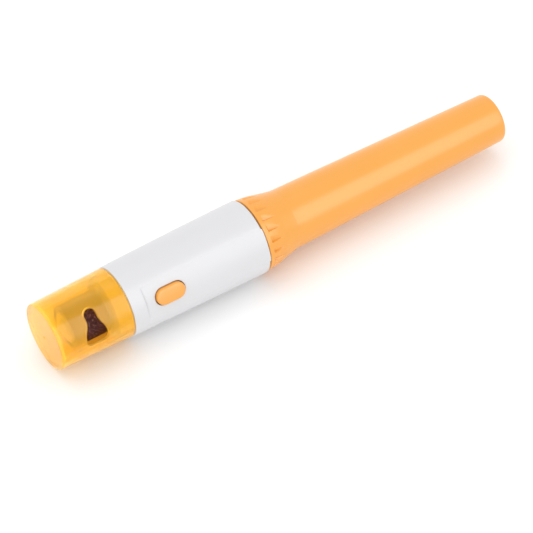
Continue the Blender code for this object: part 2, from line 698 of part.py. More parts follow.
def make_chassis():
    """The carrier behind the motor that holds the switch and the front battery contact."""
    chassis = turned("chassis", ring_profile(CHASSIS_START, CHASSIS_END, CHASSIS_RADIUS, 1.7), GREY_PLASTIC,
                     steps=36)
    front_profile = ring_profile(CHASSIS_FRONT_START, CHASSIS_FRONT_END, CHASSIS_RADIUS, CHASSIS_FRONT_BORE)
    front = turned("chassis_front", front_profile, cutter=True, steps=36)
    trim = block("chassis_front_trim", (CHASSIS_FRONT_START - 2, CHASSIS_FRONT_END + 2), (-15, 15), (7.4, 15),
                 cutter=True)
    cut(front, trim)
    spine = block("chassis_spine", (CHASSIS_FRONT_START + 0.2, CHASSIS_START + 0.4),
                  (-SPINE_HALF_WIDTH, SPINE_HALF_WIDTH), (-SPINE_LOW, -SPINE_HIGH), cutter=True)
    shelf = block("chassis_shelf", (SWITCH_START - 0.2, SWITCH_START + SWITCH_SIZE + 0.2), (-3.2, 3.2),
                  (-SPINE_HIGH - GAP, SWITCH_LOW - GAP), cutter=True)
    join(chassis, front, spine, shelf)
    for side in (-1, 1):
        hole = turned(f"wire_hole_{side}", disc_profile(CHASSIS_START - 2, CHASSIS_END + 2, WIRE_HOLE_RADIUS),
                      cutter=True, steps=12)
        hole.location.y = side * WIRE_HOLE_SPACING * MM
        cut(chassis, hole)


def make_contacts():
    shoulder = CHASSIS_END + GAP
    rivet = [(RIVET_START, 0), (RIVET_START, 1.3), (shoulder, 1.3), (shoulder, 4.6), (RIVET_END, 4.6),
             (RIVET_END, 0)]
    turned("front_contact", rivet, SPRING_STEEL)
    turned("barrel_contact_ring", ring_profile(SPIGOT_END + 0.15, SPIGOT_END + 0.5, RING_OUTER, RING_INNER),
           SPRING_STEEL, steps=36)
    sides = (-STRIP_HALF_WIDTH, STRIP_HALF_WIDTH)
    under = -STRIP_LOW - STRIP_THICKNESS
    strip = block("contact_strip", (STRIP_START, STRIP_END), sides, (under, -STRIP_LOW), SPRING_STEEL, HANDLE_AXIS)
    foot = block("strip_foot", (STRIP_START, STRIP_START + STRIP_THICKNESS), sides,
                 (-STRIP_FOOT, -STRIP_LOW - 0.1), parent=HANDLE_AXIS, cutter=True)
    tail = block("strip_tail", (STRIP_END - STRIP_THICKNESS, STRIP_END), sides, (-STRIP_LOW - 0.1, -6.5),
                 parent=HANDLE_AXIS, cutter=True)
    join(strip, foot, tail)
    turned("tail_contact_plate", disc_profile(TAIL_PLATE_START, TAIL_PLATE_END, TAIL_PLATE_RADIUS), SPRING_STEEL,
           HANDLE_AXIS)


def make_tail_spring():
    count = int(SPRING_TURNS * 16) + 1
    route = []
    for index in range(count):
        share = index / (count - 1)
        angle = 2 * math.pi * SPRING_TURNS * share
        radius = SPRING_FRONT_RADIUS + (SPRING_REAR_RADIUS - SPRING_FRONT_RADIUS) * share
        station = SPRING_START + (SPRING_END - SPRING_START) * share
        route.append((station, radius * math.cos(angle), radius * math.sin(angle)))
    wire("tail_spring", route, SPRING_WIRE, SPRING_STEEL, HANDLE_AXIS, sides=1)


def make_cells():
    for index in range(2):
        start = CELL_START + index * (CELL_LENGTH + GAP)
        shoulder = start + NUB_LENGTH
        end = start + CELL_LENGTH
        profile = [(start, 0), (start, NUB_RADIUS), (shoulder, NUB_RADIUS), (shoulder, CELL_RADIUS - CELL_EDGE),
                   (shoulder + CELL_EDGE, CELL_RADIUS), (end - CELL_EDGE, CELL_RADIUS),
                   (end, CELL_RADIUS - CELL_EDGE), (end, 0)]
        turned(f"battery_cell_{index + 1}", profile, CELL_JACKET, steps=36)


def make_leads():
    """From the motor's terminals to the switch and the ring, and from the switch to the front contact."""
    def lead(name, stops, material):
        wire(name, smooth_route(stops, 18), LEAD_RADIUS, material, sides=1)

    lead("lead_motor_to_switch", [(56.2, -6.2, 0.0), (57.6, -6.6, -0.6), (58.8, -6.9, -2.2), (59.6, -6.3, -3.6)],
         RED_WIRE)
    lead("lead_switch_to_contact", [(60.4, 6.2, -3.4), (62.5, 7.0, -4.0), (70.0, 6.0, -2.5), (78.0, 3.0, -0.8),
                                    (82.3, 0.6, -0.2)], RED_WIRE)
    lead("lead_motor_to_ring", [(56.2, 6.2, 0.0), (60.0, 8.2, 0.6), (70.0, 8.4, 0.8), (79.0, 7.0, 0.3),
                                (83.0, WIRE_HOLE_SPACING, 0.0), (88.0, WIRE_HOLE_SPACING, 0.0)], BLACK_WIRE)


def make_notch_cutter():
    """Grip notches round the collar, wedges with one steep side whose floors run level into the cone."""
    mesh = bpy.data.meshes.new("notches")
    bm = bmesh.new()
    for index in range(NOTCH_COUNT):
        angle = 2 * math.pi * index / NOTCH_COUNT
        corners = []
        for station in (NOTCH_START, NOTCH_END):
            for radius, turn in ((NOTCH_FLOOR, 0.0), (NOTCH_RIM, 0.0), (NOTCH_RIM, NOTCH_WIDTH)):
                spot = angle + turn
                place = (along(station), radius * MM * math.sin(spot), radius * MM * math.cos(spot))
                corners.append(bm.verts.new(place))
        bmesh.ops.convex_hull(bm, input=corners)
    bmesh.ops.recalc_face_normals(bm, faces=bm.faces)
    bm.to_mesh(mesh)
    bm.free()
    return finish_object("notch_wedges", mesh, None, HANDLE_AXIS, cutter=True)


def make_handle():
    edge = TAIL_EDGE
    tail = [(LENGTH - edge + edge * math.sin(a), TAIL_RADIUS - edge + edge * math.cos(a))
            for a in (0.0, math.pi / 6, math.pi / 3, math.pi / 2)]
    floor = LENGTH - TAIL_WALL
    profile = [(COLLAR_START, COLLAR_RADIUS - CASING_EDGE), (COLLAR_START + CASING_EDGE, COLLAR_RADIUS),
               SHOULDER, CONE, (TUBE_START, TUBE_FRONT_RADIUS), *tail, (LENGTH, 0), (floor, 0),
               (floor, TAIL_BORE), (TUBE_START + 0.4, TUBE_BORE), (STEP_END, STEP_BORE),
               (COLLAR_BORE_END, STEP_BORE), (COLLAR_BORE_END, COLLAR_BORE), (COLLAR_START, COLLAR_BORE)]
    handle = turned("handle", profile, ORANGE, HANDLE_AXIS, steps=LARGE_STEPS)
    cut(handle, make_notch_cutter())


make_guard()
make_barrel()
make_button()
make_switch()
make_motor()
make_armature()
make_drum()
make_motor_screws()
make_chassis()
make_contacts()
make_tail_spring()
make_cells()
make_leads()
make_handle()
weld_cut_pieces()
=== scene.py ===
"""Looks of the battery nail grinder: smooth moulded casings, amber guard, gritty sanding band."""
import json
import math

import bmesh
import bpy
import numpy as np
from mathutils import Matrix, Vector, noise


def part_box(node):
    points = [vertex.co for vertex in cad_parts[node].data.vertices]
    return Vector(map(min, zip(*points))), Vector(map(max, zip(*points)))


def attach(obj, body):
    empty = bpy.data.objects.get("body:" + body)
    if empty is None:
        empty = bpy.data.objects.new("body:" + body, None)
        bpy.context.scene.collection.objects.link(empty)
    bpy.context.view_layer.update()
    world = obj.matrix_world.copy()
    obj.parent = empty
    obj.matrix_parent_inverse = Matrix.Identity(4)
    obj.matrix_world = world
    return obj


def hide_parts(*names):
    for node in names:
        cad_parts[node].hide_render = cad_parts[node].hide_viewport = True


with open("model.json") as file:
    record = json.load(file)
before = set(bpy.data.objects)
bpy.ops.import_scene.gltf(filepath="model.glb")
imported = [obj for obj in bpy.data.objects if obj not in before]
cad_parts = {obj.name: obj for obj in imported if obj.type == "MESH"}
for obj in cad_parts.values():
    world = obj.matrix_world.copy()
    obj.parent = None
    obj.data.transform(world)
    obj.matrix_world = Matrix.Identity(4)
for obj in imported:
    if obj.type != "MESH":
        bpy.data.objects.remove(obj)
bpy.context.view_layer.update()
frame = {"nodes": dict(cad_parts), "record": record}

MM = 0.001
HEAD_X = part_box("guard")[0][0]
TAIL_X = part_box("handle")[1][0]
AXIS_Z = (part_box("barrel")[0][2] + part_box("barrel")[1][2]) / 2
LENGTH = (TAIL_X - HEAD_X) / MM
ROLL = math.radians(61)

# Stations are millimetres along the axis from the guard's front face, radii millimetres from the axis
GUARD_END = 30.2
GUARD_RADII = (13.2, 13.85)
GUARD_WALL = 1.65
WINDOW_STATION, WINDOW_ROLL = 15.2, math.radians(56.1)
NECK_START, NECK_RADIUS = 24.9, 11.9
MOUTH_FIT = 0.3
BARREL_START, BARREL_END = 30.5, 88.7
BARREL_RADII = (14.0, 14.77)
SPIGOT_END, SPIGOT_RADIUS = 94.3, 12.5
BORE_ROOF = 10.5
PANEL_START = 36.3
PANEL_HEIGHTS = (13.6, 14.3)
PANEL_CROWN_RADIUS = 20.0
PANEL_STEP = 0.13
BUTTON_STATION = 46.6
BUTTON_SIZE = (12.0, 6.5)
BUTTON_TOP = 15.0
COLLAR_START, TUBE_START = 89.0, 103.6
TUBE_RADII = (11.92, 9.83)
NOTCH_COUNT, NOTCH_START, NOTCH_FLOOR, NOTCH_RIM = 20, 90.8, 13.4, 14.6
NOTCH_WIDTH, STEEP_SIDE = 15.0, 1.4  # degrees round the axis
BAND_START, BAND_LENGTH, BAND_OUTER, BAND_INNER = 8.4, 15.0, 8.3, 7.65


# ---------------------------------------------------------------- mesh tools

def new_object(name, bm, sharp=35.0):
    """A linked object from a bmesh, smooth but for edges sharper than the angle in degrees."""
    mesh = bpy.data.meshes.new(name)
    bm.normal_update()
    bm.to_mesh(mesh)
    bm.free()
    mesh.shade_smooth()
    mesh.set_sharp_from_angle(angle=math.radians(sharp))
    obj = bpy.data.objects.new(name, mesh)
    bpy.context.scene.collection.objects.link(obj)
    return obj


def place(station, side, height):
    """A point in metres from millimetres along the axis, to the side and towards the button."""
    x = HEAD_X + station * MM
    y = side * math.cos(ROLL) - height * math.sin(ROLL)
    z = side * math.sin(ROLL) + height * math.cos(ROLL)
    return Vector((x, y * MM, AXIS_Z + z * MM))


def polar(station, radius, angle):
    """A point at an angle from the button's direction, positive towards the right-hand side."""
    return place(station, radius * math.sin(angle), radius * math.cos(angle))


def lathe(name, rings, segments=180, sharp=35.0, angles=None):
    """A closed skin through rings of (station, radius), each a number or a function of the angle.

    A ring of radius 0 is a point on the axis. Rings that start and end off the axis are joined
    end to start."""
    angles = angles or [2 * math.pi * index / segments for index in range(segments)]
    count = len(angles)
    bm = bmesh.new()
    rows = []
    for station, radius in rings:
        if not callable(radius) and radius == 0:
            rows.append([bm.verts.new(place(station, 0, 0))])
            continue
        row = []
        for angle in angles:
            where = station(angle) if callable(station) else station
            reach = radius(angle) if callable(radius) else radius
            row.append(bm.verts.new(polar(where, reach, angle)))
        rows.append(row)
    pairs = list(zip(rows, rows[1:]))
    if len(rows[0]) > 1 and len(rows[-1]) > 1:
        pairs.append((rows[-1], rows[0]))
    for first, second in pairs:
        if len(first) == 1 and len(second) == 1:
            continue
        for index in range(count):
            after = (index + 1) % count
            if len(first) == 1:
                bm.faces.new((first[0], second[index], second[after]))
            elif len(second) == 1:
                bm.faces.new((first[index], second[0], first[after]))
            else:
                bm.faces.new((first[index], second[index], second[after], first[after]))
    bmesh.ops.recalc_face_normals(bm, faces=bm.faces)
    return new_object(name, bm, sharp)


def fillet(points, radii, count=5):
    """The outline with each inner corner rounded by its radius, as an arc of count points."""
    result = [tuple(points[0])]
    for before, corner, after, radius in zip(points, points[1:], points[2:], radii[1:-1]):
        if radius == 0:
            result.append(tuple(corner))
            continue
        b, c, a = np.array(before, float), np.array(corner, float), np.array(after, float)
        u = (b - c) / np.linalg.norm(b - c)
        v = (a - c) / np.linalg.norm(a - c)
        half = math.acos(max(-1.0, min(1.0, float(u @ v)))) / 2
        reach = radius / math.tan(half)
        bisector = (u + v) / np.linalg.norm(u + v)
        centre = c + bisector * radius / math.sin(half)
        first = c + u * reach - centre
        last = c + v * reach - centre
        sweep = math.atan2(first[0] * last[1] - first[1] * last[0], float(first @ last))
        for index in range(count):
            angle = sweep * index / (count - 1)
            turned = (first[0] * math.cos(angle) - first[1] * math.sin(angle),
                      first[0] * math.sin(angle) + first[1] * math.cos(angle))
            result.append((centre[0] + turned[0], centre[1] + turned[1]))
    result.append(tuple(points[-1]))
    return result


def densify(points, step):
    """The outline with its long stretches split into steps of about the given length."""
    result = [points[0]]
    for first, last in zip(points, points[1:]):
        length = math.dist(first, last)
        count = max(1, round(length / step))
        for index in range(1, count + 1):
            share = index / count
            result.append(tuple(start + (end - start) * share for start, end in zip(first, last)))
    return result


def arc(centre, radius, start, end, count):
    """Points on an arc between two angles in degrees."""
    angles = [math.radians(start + (end - start) * i / (count - 1)) for i in range(count)]
    return [(centre[0] + radius * math.cos(a), centre[1] + radius * math.sin(a)) for a in angles]


def stadium(length, width, count=17):
    """An oblong with round ends, each an arc of count points."""
    reach = (length - width) / 2
    return arc((reach, 0), width / 2, -90, 90, count) + arc((-reach, 0), width / 2, 90, 270, count)


def rectangle(start, end, half_width):
    return [(start, -half_width), (end, -half_width), (end, half_width), (start, half_width)]


def skin_rows(bm, rows):
    """Faces between neighbouring loops of vertices, with both ends closed."""
    for first, second in zip(rows, rows[1:]):
        count = len(first)
        for index in range(count):
            after = (index + 1) % count
            bm.faces.new((first[index], first[after], second[after], second[index]))
    bm.faces.new(rows[0])
    bm.faces.new(rows[-1])
    bmesh.ops.recalc_face_normals(bm, faces=bm.faces)


def prism(name, outline, low, high, station=0.0, spin=0.0):
    """An outline of (station, side) points extruded between two heights.

    The heights run along the direction at the angle spin from the button's."""
    bm = bmesh.new()
    rows = []
    for height in (low, high):
        row = []
        for along, side in outline:
            sideways = side * math.cos(spin) + height * math.sin(spin)
            up = height * math.cos(spin) - side * math.sin(spin)
            row.append(bm.verts.new(place(station + along, sideways, up)))
        rows.append(row)
    skin_rows(bm, rows)
    return new_object(name, bm)


def combine(target, other, operation):
    """Cut or join with the exact solver, apply the result and remove the other object."""
    modifier = target.modifiers.new("combine", "BOOLEAN")
    modifier.operation = operation
    modifier.solver = "EXACT"
    modifier.object = other
    apply_modifiers(target)
    bpy.data.objects.remove(other, do_unlink=True)


def apply_modifiers(obj):
    """Put the modified mesh in the place of the object's own."""
    bpy.context.view_layer.update()
    evaluated = obj.evaluated_get(bpy.context.evaluated_depsgraph_get())
    mesh = bpy.data.meshes.new_from_object(evaluated)
    obj.modifiers.clear()
    obj.data = mesh


def soften(obj, width, segments, angle=50.0):
    """Round the mesh's edges that are sharper than the angle in degrees."""
    modifier = obj.modifiers.new("soften", "BEVEL")
    modifier.width = width * MM
    modifier.segments = segments
    modifier.limit_method = "ANGLE"
    modifier.angle_limit = math.radians(angle)
    modifier.use_clamp_overlap = True
    modifier.harden_normals = False
    apply_modifiers(obj)
    obj.data.shade_smooth()
    obj.data.set_sharp_from_angle(angle=math.radians(40))


# ---------------------------------------------------------------- materials

def node_material(name):
    """A new material with its nodes, links and shader."""
    material = bpy.data.materials.new(name)
    material.use_nodes = True
    nodes = material.node_tree.nodes
    return material, nodes, material.node_tree.links, nodes["Principled BSDF"]


def add_noise(nodes, links, scale, detail=3.0):
    """Noise fixed to the object, so that it moves with the piece."""
    coordinates = nodes.new("ShaderNodeTexCoord")
    texture = nodes.new("ShaderNodeTexNoise")
    texture.inputs["Scale"].default_value = scale
    texture.inputs["Detail"].default_value = detail
    links.new(coordinates.outputs["Object"], texture.inputs["Vector"])
    return texture


def add_ramp(nodes, links, source, stops):
    """Colours by a source value, from stops of (position, colour)."""
    ramp = nodes.new("ShaderNodeValToRGB")
    elements = ramp.color_ramp.elements
    while len(elements) < len(stops):
        elements.new(0.5)
    for element, (position, colour) in zip(elements, stops):
        element.position = position
        element.color = (*colour, 1.0)
    links.new(source, ramp.inputs["Fac"])
    return ramp


def add_bump(nodes, links, shader, source, strength, distance):
    bump = nodes.new("ShaderNodeBump")
    bump.inputs["Strength"].default_value = strength
    bump.inputs["Distance"].default_value = distance
    links.new(source, bump.inputs["Height"])
    links.new(bump.outputs["Normal"], shader.inputs["Normal"])


def vary_roughness(nodes, links, shader, source, low, high):
    """Roughness that goes from low to high as the source goes from 0 to 1."""
    spread = nodes.new("ShaderNodeMapRange")
    spread.inputs["To Min"].default_value = low
    spread.inputs["To Max"].default_value = high
    links.new(source, spread.inputs["Value"])
    links.new(spread.outputs["Result"], shader.inputs["Roughness"])


def step_between(nodes, links, source, low, high):
    """A value that goes from 0 to 1 as the source goes from low to high."""
    spread = nodes.new("ShaderNodeMapRange")
    spread.inputs["From Min"].default_value = low
    spread.inputs["From Max"].default_value = high
    links.new(source, spread.inputs["Value"])
    return spread.outputs["Result"]


def blend(nodes, links, factor, first, second):
    """Mix two colours, each a fixed colour or another node's output."""
    mix = nodes.new("ShaderNodeMix")
    mix.data_type = "RGBA"
    links.new(factor, mix.inputs["Factor"])
    for socket, colour in ((mix.inputs[6], first), (mix.inputs[7], second)):
        if isinstance(colour, tuple):
            socket.default_value = colour
        else:
            links.new(colour, socket)
    return mix.outputs[2]


def moulded_plastic(name, light, dark, roughness, coat=0.0, grain=2600.0, bump=0.04):
    """Injection-moulded plastic: faint flow clouds in the colour, fine texture in the gloss."""
    material, nodes, links, shader = node_material(name)
    clouds = add_noise(nodes, links, 60.0, 2.0)
    colour = add_ramp(nodes, links, clouds.outputs["Fac"], ((0.3, dark), (0.7, light)))
    links.new(colour.outputs["Color"], shader.inputs["Base Color"])
    fine = add_noise(nodes, links, grain, 2.0)
    vary_roughness(nodes, links, shader, fine.outputs["Fac"], roughness - 0.04, roughness + 0.04)
    add_bump(nodes, links, shader, fine.outputs["Fac"], bump, 0.00005)
    shader.inputs["IOR"].default_value = 1.5
    shader.inputs["Coat Weight"].default_value = coat
    shader.inputs["Coat Roughness"].default_value = 0.12
    return material


def plain_metal(name, light, dark, roughness, stretch=(1.0, 1.0, 1.0)):
    """Metal with a fine grain, which a stretch makes directional."""
    material, nodes, links, shader = node_material(name)
    coordinates = nodes.new("ShaderNodeTexCoord")
    mapping = nodes.new("ShaderNodeMapping")
    mapping.inputs["Scale"].default_value = stretch
    texture = nodes.new("ShaderNodeTexNoise")
    texture.inputs["Scale"].default_value = 900.0
    texture.inputs["Detail"].default_value = 3.0
    links.new(coordinates.outputs["Object"], mapping.inputs["Vector"])
    links.new(mapping.outputs["Vector"], texture.inputs["Vector"])
    colour = add_ramp(nodes, links, texture.outputs["Fac"], ((0.35, dark), (0.65, light)))
    links.new(colour.outputs["Color"], shader.inputs["Base Color"])
    vary_roughness(nodes, links, shader, texture.outputs["Fac"], roughness - 0.06, roughness + 0.1)
    add_bump(nodes, links, shader, texture.outputs["Fac"], 0.08, 0.00004)
    shader.inputs["Metallic"].default_value = 1.0
    return material


def amber_plastic():
    """Tinted clear plastic with a slight milkiness, so what is behind it looks veiled.

    A faint painted glow stands for light scattered inside it, and the rounded edge round the front face
    is painted a brighter yellow, standing for light piped through the wall's edge."""
    material, nodes, links, shader = node_material("amber_clear_plastic_look")
    clouds = add_noise(nodes, links, 50.0, 2.0)
    colour = add_ramp(nodes, links, clouds.outputs["Fac"],
                      ((0.3, (1.0, 0.60, 0.02)), (0.7, (1.0, 0.63, 0.028))))
    coordinates = nodes.new("ShaderNodeTexCoord")
    axes = nodes.new("ShaderNodeSeparateXYZ")
    links.new(coordinates.outputs["Object"], axes.inputs["Vector"])
    # Painted light: the front face's rounded edge gets a brighter yellow, standing for light piped through
    # the clear wall's edge
    edge_depth = 4 * MM
    depth = step_between(nodes, links, axes.outputs["X"], HEAD_X, HEAD_X + edge_depth)
    edge = add_ramp(nodes, links, depth,
                    ((0.01, (0, 0, 0)), (0.06, (1, 1, 1)), (0.22, (1, 1, 1)), (0.42, (0, 0, 0))))
    edge_glow_yellow = (1.0, 0.78, 0.02, 1.0)
    tint_with_edge_glow = blend(nodes, links, edge.outputs["Color"], colour.outputs["Color"], edge_glow_yellow)
    links.new(tint_with_edge_glow, shader.inputs["Base Color"])
    fine = add_noise(nodes, links, 1800.0, 2.0)
    vary_roughness(nodes, links, shader, fine.outputs["Fac"], 0.06, 0.10)
    add_bump(nodes, links, shader, fine.outputs["Fac"], 0.03, 0.00004)
    shader.inputs["IOR"].default_value = 1.25
    shader.inputs["Transmission Weight"].default_value = 0.72
    shader.inputs["Alpha"].default_value = 0.8
    shader.inputs["Coat Weight"].default_value = 0.45
    shader.inputs["Coat Roughness"].default_value = 0.12
    # Painted glow: a faint amber emission stands for light scattered inside the plastic
    shader.inputs["Emission Color"].default_value = (1.0, 0.42, 0.0, 1.0)
    shader.inputs["Emission Strength"].default_value = 0.085
    return material


def distance_along(nodes, links, coordinates, station):
    """Distance in metres from a station, along the grinder's axis."""
    axes = nodes.new("ShaderNodeSeparateXYZ")
    links.new(coordinates.outputs["Object"], axes.inputs["Vector"])
    offset = nodes.new("ShaderNodeMath")
    offset.operation = "SUBTRACT"
    offset.inputs[1].default_value = HEAD_X + station * MM
    links.new(axes.outputs["X"], offset.inputs[0])
    distance = nodes.new("ShaderNodeMath")
    distance.operation = "ABSOLUTE"
    links.new(offset.outputs[0], distance.inputs[0])
    return distance.outputs[0]


def distance_across(nodes, links, coordinates):
    """Distance in metres from the grinder's axis."""
    across = nodes.new("ShaderNodeVectorMath")
    across.operation = "MULTIPLY_ADD"
    across.inputs[1].default_value = (0, 1, 1)
    across.inputs[2].default_value = (0, 0, -AXIS_Z)
    links.new(coordinates.outputs["Object"], across.inputs[0])
    reach = nodes.new("ShaderNodeVectorMath")
    reach.operation = "LENGTH"
    links.new(across.outputs["Vector"], reach.inputs[0])
    return reach.outputs["Value"]


def abrasive_cloth():
    """Aluminium-oxide grit: dark red-brown grains with pale flecks.

    The band's cut ends are tan and its lining is a dark cloth."""
    material, nodes, links, shader = node_material("brown_abrasive_look")
    grains = nodes.new("ShaderNodeTexVoronoi")
    grains.inputs["Scale"].default_value = 3200.0
    coordinates = nodes.new("ShaderNodeTexCoord")
    links.new(coordinates.outputs["Object"], grains.inputs["Vector"])
    sparkle = nodes.new("ShaderNodeSeparateColor")
    links.new(grains.outputs["Color"], sparkle.inputs["Color"])
    grit = add_ramp(nodes, links, sparkle.outputs["Red"],
                    ((0.0, (0.012, 0.003, 0.005)), (0.35, (0.035, 0.007, 0.011)), (0.7, (0.075, 0.015, 0.02)),
                     (0.9, (0.13, 0.04, 0.045)), (1.0, (0.26, 0.14, 0.14))))
    cloth = add_ramp(nodes, links, sparkle.outputs["Red"],
                     ((0.0, (0.010, 0.010, 0.009)), (1.0, (0.06, 0.055, 0.05))))
    tan = (0.34, 0.22, 0.15, 1.0)

    half, end_depth = BAND_LENGTH / 2, 0.15
    along = distance_along(nodes, links, coordinates, BAND_START + half)
    at_end = step_between(nodes, links, along, (half - end_depth) * MM, half * MM)
    across = distance_across(nodes, links, coordinates)
    outside = step_between(nodes, links, across, (BAND_INNER + 0.02) * MM, (BAND_INNER + 0.12) * MM)
    skin = blend(nodes, links, at_end, grit.outputs["Color"], tan)
    surface = blend(nodes, links, outside, cloth.outputs["Color"], skin)
    links.new(surface, shader.inputs["Base Color"])
    shader.inputs["Roughness"].default_value = 0.85
    shader.inputs["Specular IOR Level"].default_value = 0.25
    add_bump(nodes, links, shader, grains.outputs["Distance"], 0.7, 0.0002)
    return material


MATERIALS = {
    "amber_clear_plastic": amber_plastic(),
    "white_plastic": moulded_plastic("white_plastic_look", (0.625, 0.625, 0.64), (0.61, 0.61, 0.625), 0.42),
    "orange_plastic": moulded_plastic("orange_plastic_look", (0.80, 0.34, 0.05), (0.78, 0.33, 0.045), 0.30,
                                      coat=0.15),
    "grey_plastic": moulded_plastic("grey_plastic_look", (0.34, 0.34, 0.36), (0.28, 0.28, 0.30), 0.5),
    "black_plastic": moulded_plastic("black_plastic_look", (0.03, 0.03, 0.03), (0.02, 0.02, 0.02), 0.4),
    "black_rubber": moulded_plastic("black_rubber_look", (0.025, 0.024, 0.023), (0.015, 0.015, 0.015), 0.75,
                                    grain=900.0, bump=0.3),
    "brown_abrasive": abrasive_cloth(),
    "plated_steel": plain_metal("plated_steel_look", (0.74, 0.74, 0.76), (0.62, 0.62, 0.64), 0.28),
    "lamination_steel": plain_metal("lamination_steel_look", (0.32, 0.32, 0.34), (0.18, 0.18, 0.2), 0.45,
                                    stretch=(6.0, 0.5, 0.5)),
    "ferrite": moulded_plastic("ferrite_look", (0.07, 0.07, 0.075), (0.045, 0.045, 0.05), 0.6, grain=700.0),
    "copper": plain_metal("copper_look", (0.80, 0.38, 0.20), (0.62, 0.27, 0.13), 0.3,
                          stretch=(4.0, 1.0, 1.0)),
    "sintered_bronze": plain_metal("sintered_bronze_look", (0.58, 0.40, 0.21), (0.38, 0.25, 0.13), 0.5),
    "spring_steel": plain_metal("spring_steel_look", (0.80, 0.78, 0.73), (0.68, 0.66, 0.62), 0.22),
    "cell_jacket": moulded_plastic("cell_jacket_look", (0.05, 0.07, 0.12), (0.035, 0.05, 0.09), 0.3,
                                   coat=0.5),
    "red_insulation": moulded_plastic("red_insulation_look", (0.62, 0.03, 0.025), (0.52, 0.02, 0.02), 0.4),
    "black_insulation": moulded_plastic("black_insulation_look", (0.02, 0.02, 0.02), (0.012, 0.012, 0.012),
                                        0.4),
}
SLOT_OF = {entry["node"]: entry["material_slot"] for entry in frame["record"]["subparts"]}
BODY_OF = {node: body for body, nodes in frame["record"]["behaviour"]["bodies"].items() for node in nodes}


def stand_for(piece, *nodes):
    """The piece takes its nodes' body, place in the assembly and finish."""
    slot = SLOT_OF[nodes[0]]
    piece.data.materials.clear()
    piece.data.materials.append(MATERIALS[slot])
    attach(piece, BODY_OF[nodes[0]])
    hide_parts(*nodes)


# ---------------------------------------------------------------- pieces

def smoothstep(low, high, value):
    """A value that eases from 0 to 1 as the given one goes from low to high."""
    share = min(max((value - low) / (high - low), 0.0), 1.0)
    return share * share * (3 - 2 * share)


def window_outline():
    """The nail window: a round lobe, a narrow waist, flanks that widen, and a base with round corners."""
    top, lobe, waist, wide, corner = 6.83, 2.5, 2.42, 4.5, 2.0
    waist_height, wide_height = 3.0, -3.6
    flank = []
    for share in np.linspace(0.0, 1.0, 14):
        reach = waist + (wide - waist) * smoothstep(0.0, 1.0, share)
        flank.append((reach, waist_height + (wide_height - waist_height) * share))
    outline = arc((0, top - lobe), lobe, 0, 180, 25)
    outline += [(-reach, height) for reach, height in flank]
    outline += arc((-wide + corner, -top + corner), corner, 180, 270, 9)
    outline += arc((wide - corner, -top + corner), corner, 270, 360, 9)
    outline += [(reach, height) for reach, height in reversed(flank)]
    return outline


def make_guard():
    """Clear cap with a closed front, a small dimple in its middle, and the nail window."""
    front, rear = GUARD_RADII
    inner = front - GUARD_WALL
    mouth, mouth_end = NECK_RADIUS + MOUTH_FIT, NECK_START - 0.6
    dimple_depth, dimple_floor, dimple_rim = 0.25, 0.45, 0.7
    outline = [(dimple_depth, 0), (dimple_depth, dimple_floor), (0, dimple_rim), (0, front - 0.02),
               (GUARD_END, rear), (GUARD_END, mouth), (mouth_end, mouth), (GUARD_WALL, inner),
               (GUARD_WALL, 0)]
    profile = fillet(outline, [0, 0.1, 0.1, 0.65, 0.25, 0.2, 0.3, 0.9, 0], 7)
    profile = [profile[0]] + densify(profile[1:-1], 0.8) + [profile[-1]]
    guard = lathe("guard_shell", profile, 240)
    cut_floor, cut_top = 8.0, 18.0
    window = prism("window_cut", window_outline(), cut_floor, cut_top, WINDOW_STATION, ROLL - WINDOW_ROLL)
    combine(guard, window, "DIFFERENCE")
    soften(guard, 0.45, 3)
    stand_for(guard, "guard")


def barrel_radius(station):
    """The barrel's radius at a station: it swells towards the rear in a gentle curve."""
    swell = 1.7
    share = (station - BARREL_START) / (BARREL_END - BARREL_START)
    share = min(max(share, 0.0), 1.0)
    return BARREL_RADII[1] - (BARREL_RADII[1] - BARREL_RADII[0]) * (1 - share) ** swell


def panel_reach(station, angle):
    """Distance from the axis to the shallow crowned panel, in the direction of the angle."""
    share = (station - PANEL_START) / (BARREL_END - PANEL_START)
    height = PANEL_HEIGHTS[0] + share * (PANEL_HEIGHTS[1] - PANEL_HEIGHTS[0])
    drop = height - PANEL_CROWN_RADIUS
    across = drop * math.cos(angle)
    return across + math.sqrt(across ** 2 - drop ** 2 + PANEL_CROWN_RADIUS ** 2)


def turn_of(angle):
    """The angle as a turn between -pi and pi."""
    return (angle + math.pi) % (2 * math.pi) - math.pi


def panelled(station, radius):
    """The barrel's radius as a function of the angle, where the panel cuts it with soft edges."""
    softness, reach_of_panel = 0.2, 1.0
    entry = smoothstep(PANEL_START - 0.35, PANEL_START + 0.45, station)

    def at(angle):
        turn = turn_of(angle)
        if abs(turn) > reach_of_panel:
            return radius
        floor = panel_reach(station, turn)
        overlap = max(softness - abs(radius - floor), 0.0) / softness
        lower = min(radius, floor) - overlap * overlap * softness / 4
        step = PANEL_STEP * smoothstep(0.0, 0.1, radius - floor)
        return radius + (lower - step - radius) * entry

    return at


def barrel_rear(back):
    """A station short of the barrel's end, and a little further forward outside the panel."""
    inset = 0.4
    panel_side = (math.radians(26), math.radians(28.5))

    def at(angle):
        return BARREL_END - back - inset * smoothstep(*panel_side, abs(turn_of(angle)))

    return at


def bore(radius):
    """The bore's radius as a function of the angle, with its flat roof under the panel."""
    reach_of_roof = 1.0

    def at(angle):
        turn = turn_of(angle)
        return min(radius, BORE_ROOF / math.cos(turn)) if abs(turn) < reach_of_roof else radius

    return at


